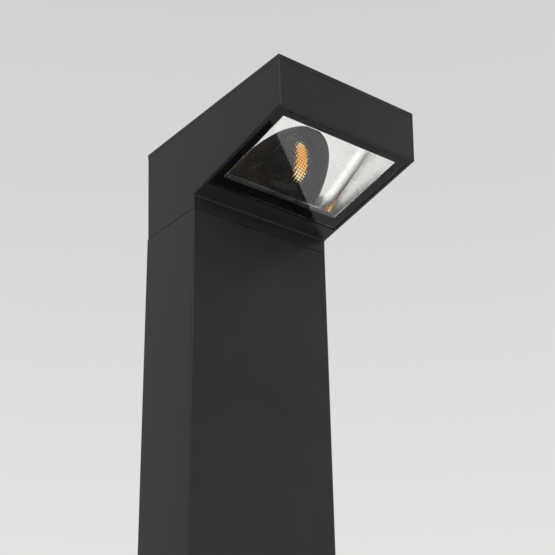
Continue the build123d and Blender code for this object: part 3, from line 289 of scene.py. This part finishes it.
def make_materials():
    dark_grey = (0.02, 0.02, 0.02)
    return {
        "powder_coat": powder_coat(),
        "rubber": rubber("rubber", (0.012, 0.012, 0.012), dark_grey),
        "silicone": rubber("silicone", (0.008, 0.008, 0.009), (0.014, 0.014, 0.015), 0.6),
        "stainless": metal("stainless", (0.50, 0.50, 0.50), (0.62, 0.62, 0.61), 0.28),
        "glass": glass("glass", 1.0),
        "glass_border": glass("glass_border", 0.4),
        "frit": frit(),
        "mirror": mirror("mirror", 0.93, 0.22, 0.30),
        # The dome's mirror is painted dark as shade, far below the tray mirror, so the dome reads dark
        # around the lamp's image.
        "dark_mirror": mirror("dark_mirror", 0.26, 0.02, 0.05),
        # Flat black painted as shade on the dome's back wall, facet grooves and rim faces.
        "dome_painted_shade_black": plastic("dome_painted_shade_black", (0.004, 0.004, 0.004), (0.007, 0.007, 0.007), 0.5),
        "aluminium": metal("aluminium", (0.68, 0.69, 0.70), (0.78, 0.79, 0.80), 0.32),
        "thermal": plastic("thermal", (0.45, 0.46, 0.5), (0.52, 0.53, 0.57), 0.6),
        "board": plastic("board", (0.008, 0.009, 0.008), (0.014, 0.015, 0.014), 0.35),
        "phosphor": phosphor(),
        "driver_case": plastic("driver_case", (0.72, 0.72, 0.70), (0.78, 0.78, 0.76), 0.45),
        "box_plastic": plastic("box_plastic", (0.30, 0.31, 0.32), (0.35, 0.36, 0.37), 0.5),
        "terminal": plastic("terminal", (0.68, 0.69, 0.65), (0.74, 0.75, 0.70), 0.4),
        "gland": plastic("gland", (0.012, 0.012, 0.012), (0.02, 0.02, 0.02), 0.5),
        "zinc_sheet": metal("zinc_sheet", (0.42, 0.43, 0.45), (0.58, 0.59, 0.60), 0.42, (90, 90, 120)),
        "brass": metal("brass", (0.62, 0.44, 0.16), (0.74, 0.56, 0.24), 0.3),
        "cable_jacket": rubber("cable_jacket", (0.01, 0.01, 0.01), (0.018, 0.018, 0.018), 0.6),
        "lead_insulation": plastic("lead_insulation", (0.02, 0.02, 0.02), (0.03, 0.03, 0.03), 0.4),
    }


MATERIALS = make_materials()


def dress_nodes():
    slots = {entry["node"]: entry["material_slot"] for entry in frame["record"]["subparts"]}
    for name, node in frame["nodes"].items():
        for index in range(max(1, len(node.material_slots))):
            if index >= len(node.material_slots):
                node.data.materials.append(None)
            node.material_slots[index].material = MATERIALS[slots[name]]


dress_nodes()


# ---------------------------------------------------------------- mesh pieces
def new_piece(name, mesh, materials, slot, *replaced):
    """Object from a bmesh that stands for the replaced CAD nodes."""
    data = bpy.data.meshes.new(name)
    mesh.to_mesh(data)
    mesh.free()
    for material in materials:
        data.materials.append(MATERIALS[material])
    piece = bpy.data.objects.new(name, data)
    bpy.context.scene.collection.objects.link(piece)
    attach(piece, "root")
    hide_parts(*replaced)
    return piece


def in_soffit(u, v, n):
    """Row position of a point in the soffit's frame."""
    along = Vector((0, -cos(SOFFIT_SLOPE), sin(SOFFIT_SLOPE)))
    inwards = Vector((0, sin(SOFFIT_SLOPE), cos(SOFFIT_SLOPE)))
    return SOFFIT_START + Vector((u, 0, 0)) + along * v + inwards * n


def in_roof(x, s, n):
    """Row position of a point in the reflector roof's frame."""
    along = Vector((0, -cos(ROOF_TILT), sin(ROOF_TILT)))
    up = Vector((0, sin(ROOF_TILT), cos(ROOF_TILT)))
    return ROOF_BACK + Vector((x, 0, 0)) + along * s + up * n


# ---------------------------------------------------------------- glass pane
def pane_side(mesh, lines_u, lines_v, n, middle, border):
    """One face of the pane as three by three panels; returns its 4 x 4 points."""
    points = [[mesh.verts.new(in_soffit(u, v, n)) for v in lines_v] for u in lines_u]
    for i in range(3):
        for j in range(3):
            corners = (points[i][j], points[i + 1][j], points[i + 1][j + 1], points[i][j + 1])
            face = mesh.faces.new(corners)
            face.material_index = middle if (i, j) == (1, 1) else border
    return points


def rim_points(points):
    """The outline of a 4 x 4 grid, in order."""
    return points[0] + [points[1][3], points[2][3]] + points[3][::-1] + [points[2][0], points[1][0]]


def glass_pane():
    """Toughened pane with ground edges and a black border printed on its inner face."""
    mesh = bmesh.new()
    outer_u = CLEAR_HALF_U - SHEEN_OVERLAP
    outer_v = (CLEAR_V[0] + SHEEN_OVERLAP, CLEAR_V[1] - SHEEN_OVERLAP)
    faces = []
    for n, half_u, clear_v, border in (
        (GLASS_N[0], outer_u, outer_v, 1),
        (GLASS_N[1], CLEAR_HALF_U, CLEAR_V, 2),
    ):
        lines_u = (-GLASS_HALF_U, -half_u, half_u, GLASS_HALF_U)
        lines_v = (GLASS_V[0], *clear_v, GLASS_V[1])
        faces.append(rim_points(pane_side(mesh, lines_u, lines_v, n, 0, border)))
    outer, inner = faces
    for start in range(0, 12, 3):
        stretch = [(start + step) % 12 for step in range(4)]
        corners = [outer[k] for k in stretch] + [inner[k] for k in reversed(stretch)]
        mesh.faces.new(corners).material_index = 1
    bmesh.ops.recalc_face_normals(mesh, faces=mesh.faces)
    sharp = [edge for edge in mesh.edges if edge.calc_face_angle(0) > 1.0]
    bmesh.ops.bevel(mesh, geom=sharp, offset=GLASS_EDGE, segments=2, affect="EDGES", material=1)
    materials = ("glass", "glass_border", "frit")
    return new_piece("glass_pane", mesh, materials, "glass", "glass", "glass_frit")


# ---------------------------------------------------------------- faceted dome
def dome_point(t, a, grow=0.0):
    """Point of the dome's skin: t from the tip to the back, a from side to side."""
    axes = DOME_AXES + Vector((grow, grow, grow))
    return Vector((axes.x * sin(t) * cos(a), axes.y * cos(t), axes.z * sin(t) * sin(a)))


def skin_normal(point, axes, powers):
    """Inward normal of a dome with these semi-axes and powers."""
    slope = [
        power * abs(value / axis) ** (power - 1) / axis * (1 if value > 0 else -1)
        for value, axis, power in zip(point, axes, powers)
    ]
    return -Vector(slope).normalized()


def facet_corner(t, a, middle, aim):
    """Corner slid along the skin's normal until it lies in the facet's plane."""
    corner = dome_point(t, a)
    normal = skin_normal(corner, DOME_AXES, Vector((2, 2, 2)))
    return corner - normal * ((corner - middle).dot(aim) / normal.dot(aim))


def facet(mesh, ring, meridian):
    """Flat facet set in from its cell's borders by the groove; returns its corners."""
    t_step, a_step = pi / 2 / RINGS, pi / MERIDIANS
    t_low, t_high = ((ring + share) * t_step for share in (GROOVE, 1 - GROOVE))
    a_low, a_high = ((meridian + share) * a_step for share in (GROOVE, 1 - GROOVE))
    middle = dome_point((t_low + t_high) / 2, (a_low + a_high) / 2)
    aim = skin_normal(middle, AIM_AXES, AIM_POWERS)
    places = ((t_low, a_low), (t_low, a_high), (t_high, a_high), (t_high, a_low))
    corners = [facet_corner(t, a, middle, aim) for t, a in places]
    points = [mesh.verts.new(in_roof(*corner)) for corner in corners]
    mesh.faces.new(points)
    return points


def rim_row(mesh, rings, a, grow):
    """Points along the dome's rim on one side."""
    return [mesh.verts.new(in_roof(*dome_point(t * pi / 2 / RINGS, a, grow))) for t in rings]


def facet_grooves(mesh, rows):
    """Sloping strips between neighbouring facets and small squares where four meet, painted black as
    shade.
    """
    for row in rows:
        for here, there in zip(row, row[1:]):
            mesh.faces.new((here[2], here[1], there[0], there[3])).material_index = 1
    for row, below in zip(rows, rows[1:]):
        for here, there in zip(row, below):
            mesh.faces.new((here[3], here[2], there[1], there[0])).material_index = 1
        for k in range(MERIDIANS - 1):
            corners = (row[k][2], row[k + 1][3], below[k + 1][0], below[k][1])
            mesh.faces.new(corners).material_index = 1
    tip = [corner for cell in rows[0] for corner in (cell[0], cell[1])]
    mesh.faces.new(tip).material_index = 1


def shell_skin(mesh, rows):
    """Smooth outside of the shell, and the narrow faces that join it to the facets."""
    step = pi / MERIDIANS
    grid = [rim_row(mesh, range(1, RINGS + 1), k * step, DOME_T) for k in range(MERIDIANS + 1)]
    tip = mesh.verts.new(in_roof(*dome_point(0, 0, DOME_T)))
    for here, there in zip(grid, grid[1:]):
        mesh.faces.new((tip, here[0], there[0])).smooth = True
        for k in range(RINGS - 1):
            mesh.faces.new((here[k], here[k + 1], there[k + 1], there[k])).smooth = True
    rims = [
        side_rim(mesh, rows, 0, (0, 3), 0, [tip] + grid[0]),
        side_rim(mesh, rows, MERIDIANS - 1, (1, 2), pi, [tip] + grid[-1]),
    ]
    back = [corner for cell in rows[-1] for corner in (cell[3], cell[2])]
    back = [rims[0][-1]] + back + [rims[1][-1]]
    mesh.faces.new(back + [line[-1] for line in grid[::-1]])
    mesh.faces.new((rows[0][0][0], rims[0][0], tip))
    mesh.faces.new((rows[0][-1][1], rims[1][0], tip))


def side_rim(mesh, rows, cell, corners, side, outer):
    """Narrow faces from one side's facets over the rim to the outside, painted black as shade; returns
    the rim.
    """
    inner = [row[cell][corner] for row in rows for corner in corners]
    rings = [ring + share for ring in range(RINGS) for share in (GROOVE, 1 - GROOVE)]
    rim = rim_row(mesh, rings, side, 0)
    for k in range(len(rim) - 1):
        mesh.faces.new((inner[k], inner[k + 1], rim[k + 1], rim[k])).material_index = 1
    mesh.faces.new(rim + outer[::-1]).material_index = 1
    return rim


def arc_points(wide, high):
    """Points of a half ellipse with these semi-axes."""
    turns = [k * pi / OUTLINE_STEPS for k in range(OUTLINE_STEPS + 1)]
    return [(wide * cos(turn), high * sin(turn)) for turn in turns]


def half_ellipse(grow):
    """Points (x, s) of the dome's outline on the roof, grown outwards."""
    x_axis, s_axis = DOME_AXES.x + grow, DOME_AXES.y + grow
    return arc_points(x_axis, s_axis)


def flange(mesh):
    """Flat half ring that the tray's stakes hold."""
    low, high = FLANGE_N
    loops = [
        [mesh.verts.new(in_roof(x, s, n)) for x, s in half_ellipse(grow)]
        for grow, n in ((DOME_T, low), (DOME_T + DOME_FLANGE, low),
                        (DOME_T + DOME_FLANGE, high), (DOME_T, high))
    ]
    for k, loop in enumerate(loops):
        after = loops[(k + 1) % 4]
        for here in range(len(loop) - 1):
            mesh.faces.new((loop[here], after[here], after[here + 1], loop[here + 1]))
    for end in (0, -1):
        mesh.faces.new([loop[end] for loop in loops])


def back_wall(mesh):
    """Upright wall behind the facets with the lamp's opening, painted flat black as shade."""
    x_axis, n_axis = DOME_AXES.x + DOME_T, DOME_AXES.z + DOME_T
    arch = arc_points(x_axis, n_axis)
    slot = [(x, SLOT_N[0]) for x in SLOT_X] + [(x, SLOT_N[1]) for x in reversed(SLOT_X)]
    front_edges = []
    for outline in (arch, slot):
        loops = [[mesh.verts.new(in_roof(x, s, n)) for x, n in outline]
                 for s in (WALL_FRONT_S, -DOME_T)]
        size = len(outline)
        for loop in loops:
            front_edges.append([mesh.edges.new((loop[k], loop[(k + 1) % size])) for k in range(size)])
        for k in range(size):
            after = (k + 1) % size
            face = mesh.faces.new((loops[0][k], loops[0][after], loops[1][after], loops[1][k]))
            face.material_index = 1
    for side in (0, 1):
        edges = front_edges[side] + front_edges[side + 2]
        filled = bmesh.ops.triangle_fill(mesh, edges=edges, use_beauty=True)
        for face in filled["geom"]:
            if isinstance(face, bmesh.types.BMFace):
                face.material_index = 1


def faceted_dome():
    mesh = bmesh.new()
    rows = [[facet(mesh, ring, k) for k in range(MERIDIANS)] for ring in range(RINGS)]
    facet_grooves(mesh, rows)
    shell_skin(mesh, rows)
    flange(mesh)
    back_wall(mesh)
    bmesh.ops.recalc_face_normals(mesh, faces=mesh.faces)
    return new_piece("faceted_dome", mesh, ("dark_mirror", "dome_painted_shade_black"), "mirror", "reflector_dome")


glass_pane()
faceted_dome()


# ---------------------------------------------------------------- stage
# Each is (sine of the height angle, colour).
BACK_LOW = (0.24, (0.775, 0.778, 0.760))
BACK_HIGH = (0.64, (0.628, 0.630, 0.618))
FRONT_LOW = (0.05, (0.92, 0.91, 0.92))
FRONT_HIGH = (0.60, (0.50, 0.487, 0.506))
TURN = (-0.25, 0.15)         # Y of direction where the front half passes into the back
FLOOR_HALF = 6.0


def pale_floor():
    n = Nodes("floor")
    shader = n.surface(IOR=1.4, Specular_IOR_Level=0.2)
    cloud = n.noise(2.0)
    n.link(n.tint(cloud, (0.80, 0.80, 0.79), (0.83, 0.83, 0.82)), shader.inputs["Base Color"])
    n.link(n.spread(cloud, 0.7, 0.85), shader.inputs["Roughness"])
    mesh = bpy.data.meshes.new("floor")
    half = FLOOR_HALF
    corners = [(-half, -half, 0), (half, -half, 0), (half, half, 0), (-half, half, 0)]
    mesh.from_pydata(corners, [], [(0, 1, 2, 3)])
    mesh.materials.append(n.material)
    floor = bpy.data.objects.new("floor", mesh)
    bpy.context.scene.collection.objects.link(floor)


def world_ramp(nodes, low, high):
    """Grey tones of one half of the studio: (height of direction, colour)."""
    ramp = nodes.new("ShaderNodeValToRGB")
    for element, (place, colour) in zip(ramp.color_ramp.elements, (low, high)):
        element.position = place
        element.color = (*colour, 1)
    return ramp


def studio_world():
    """Pale sweep behind the object; the half behind the camera darkens upwards."""
    world = bpy.data.worlds.new("studio")
    bpy.context.scene.world = world
    world.use_nodes = True
    nodes = world.node_tree.nodes
    links = world.node_tree.links
    place = nodes.new("ShaderNodeTexCoord")
    split = nodes.new("ShaderNodeSeparateXYZ")
    links.new(place.outputs["Generated"], split.inputs["Vector"])
    back = world_ramp(nodes, BACK_LOW, BACK_HIGH)
    front = world_ramp(nodes, FRONT_LOW, FRONT_HIGH)
    for ramp in (back, front):
        links.new(split.outputs["Z"], ramp.inputs["Fac"])
    turn = nodes.new("ShaderNodeMapRange")
    turn.inputs["From Min"].default_value, turn.inputs["From Max"].default_value = TURN
    links.new(split.outputs["Y"], turn.inputs["Value"])
    mix = nodes.new("ShaderNodeMix")
    mix.data_type = "RGBA"
    links.new(turn.outputs["Result"], mix.inputs[0])
    links.new(front.outputs["Color"], mix.inputs[6])
    links.new(back.outputs["Color"], mix.inputs[7])
    links.new(mix.outputs[2], nodes["Background"].inputs["Color"])


def softbox(name, place, target, size, power, spread=180.0):
    """Rectangular light: metres, watts and degrees."""
    data = bpy.data.lights.new(name, "AREA")
    data.shape = "RECTANGLE"
    data.size, data.size_y = size
    data.energy = power
    data.spread = radians(spread)
    light = bpy.data.objects.new(name, data)
    bpy.context.scene.collection.objects.link(light)
    light.location = place
    direction = Vector(target) - Vector(place)
    light.rotation_euler = direction.to_track_quat("-Z", "Y").to_euler()


CAMERA_AT = (-0.50673, -0.68822, 0.48008)
CAMERA_AZIMUTH = 38.34
CAMERA_ELEVATION = 26.26
CAMERA_ROLL = -1.035
CAMERA_LENS = 84.16


def photo_camera():
    data = bpy.data.cameras.new("camera")
    data.lens = CAMERA_LENS
    data.sensor_width = 36.0
    data.clip_start = 0.01
    camera = bpy.data.objects.new("camera", data)
    bpy.context.scene.collection.objects.link(camera)
    turn = Matrix.Rotation(radians(-CAMERA_AZIMUTH), 4, "Z")
    tilt = Matrix.Rotation(radians(90 + CAMERA_ELEVATION), 4, "X")
    roll = Matrix.Rotation(radians(CAMERA_ROLL), 4, "Z")
    camera.matrix_world = Matrix.Translation(CAMERA_AT) @ turn @ tilt @ roll
    bpy.context.scene.camera = camera


pale_floor()
studio_world()
softbox("key", (-1.6, -1.4, 2.4), (0, 0, 0.6), (1.6, 1.6), 20.0)
softbox("floor_back", (1.3, 0.8, 2.4), (0.8, 0.4, 0), (1.6, 1.6), 8.0)
softbox("floor_front", (-0.4, -1.8, 1.6), (-0.2, -0.6, 0), (1.0, 1.0), 8.0, 60.0)
softbox("fill", (2.2, -0.6, 1.8), (0.3, 0, 0.3), (1.6, 1.6), 12.0)
photo_camera()
bpy.context.scene.view_settings.view_transform = "Standard"
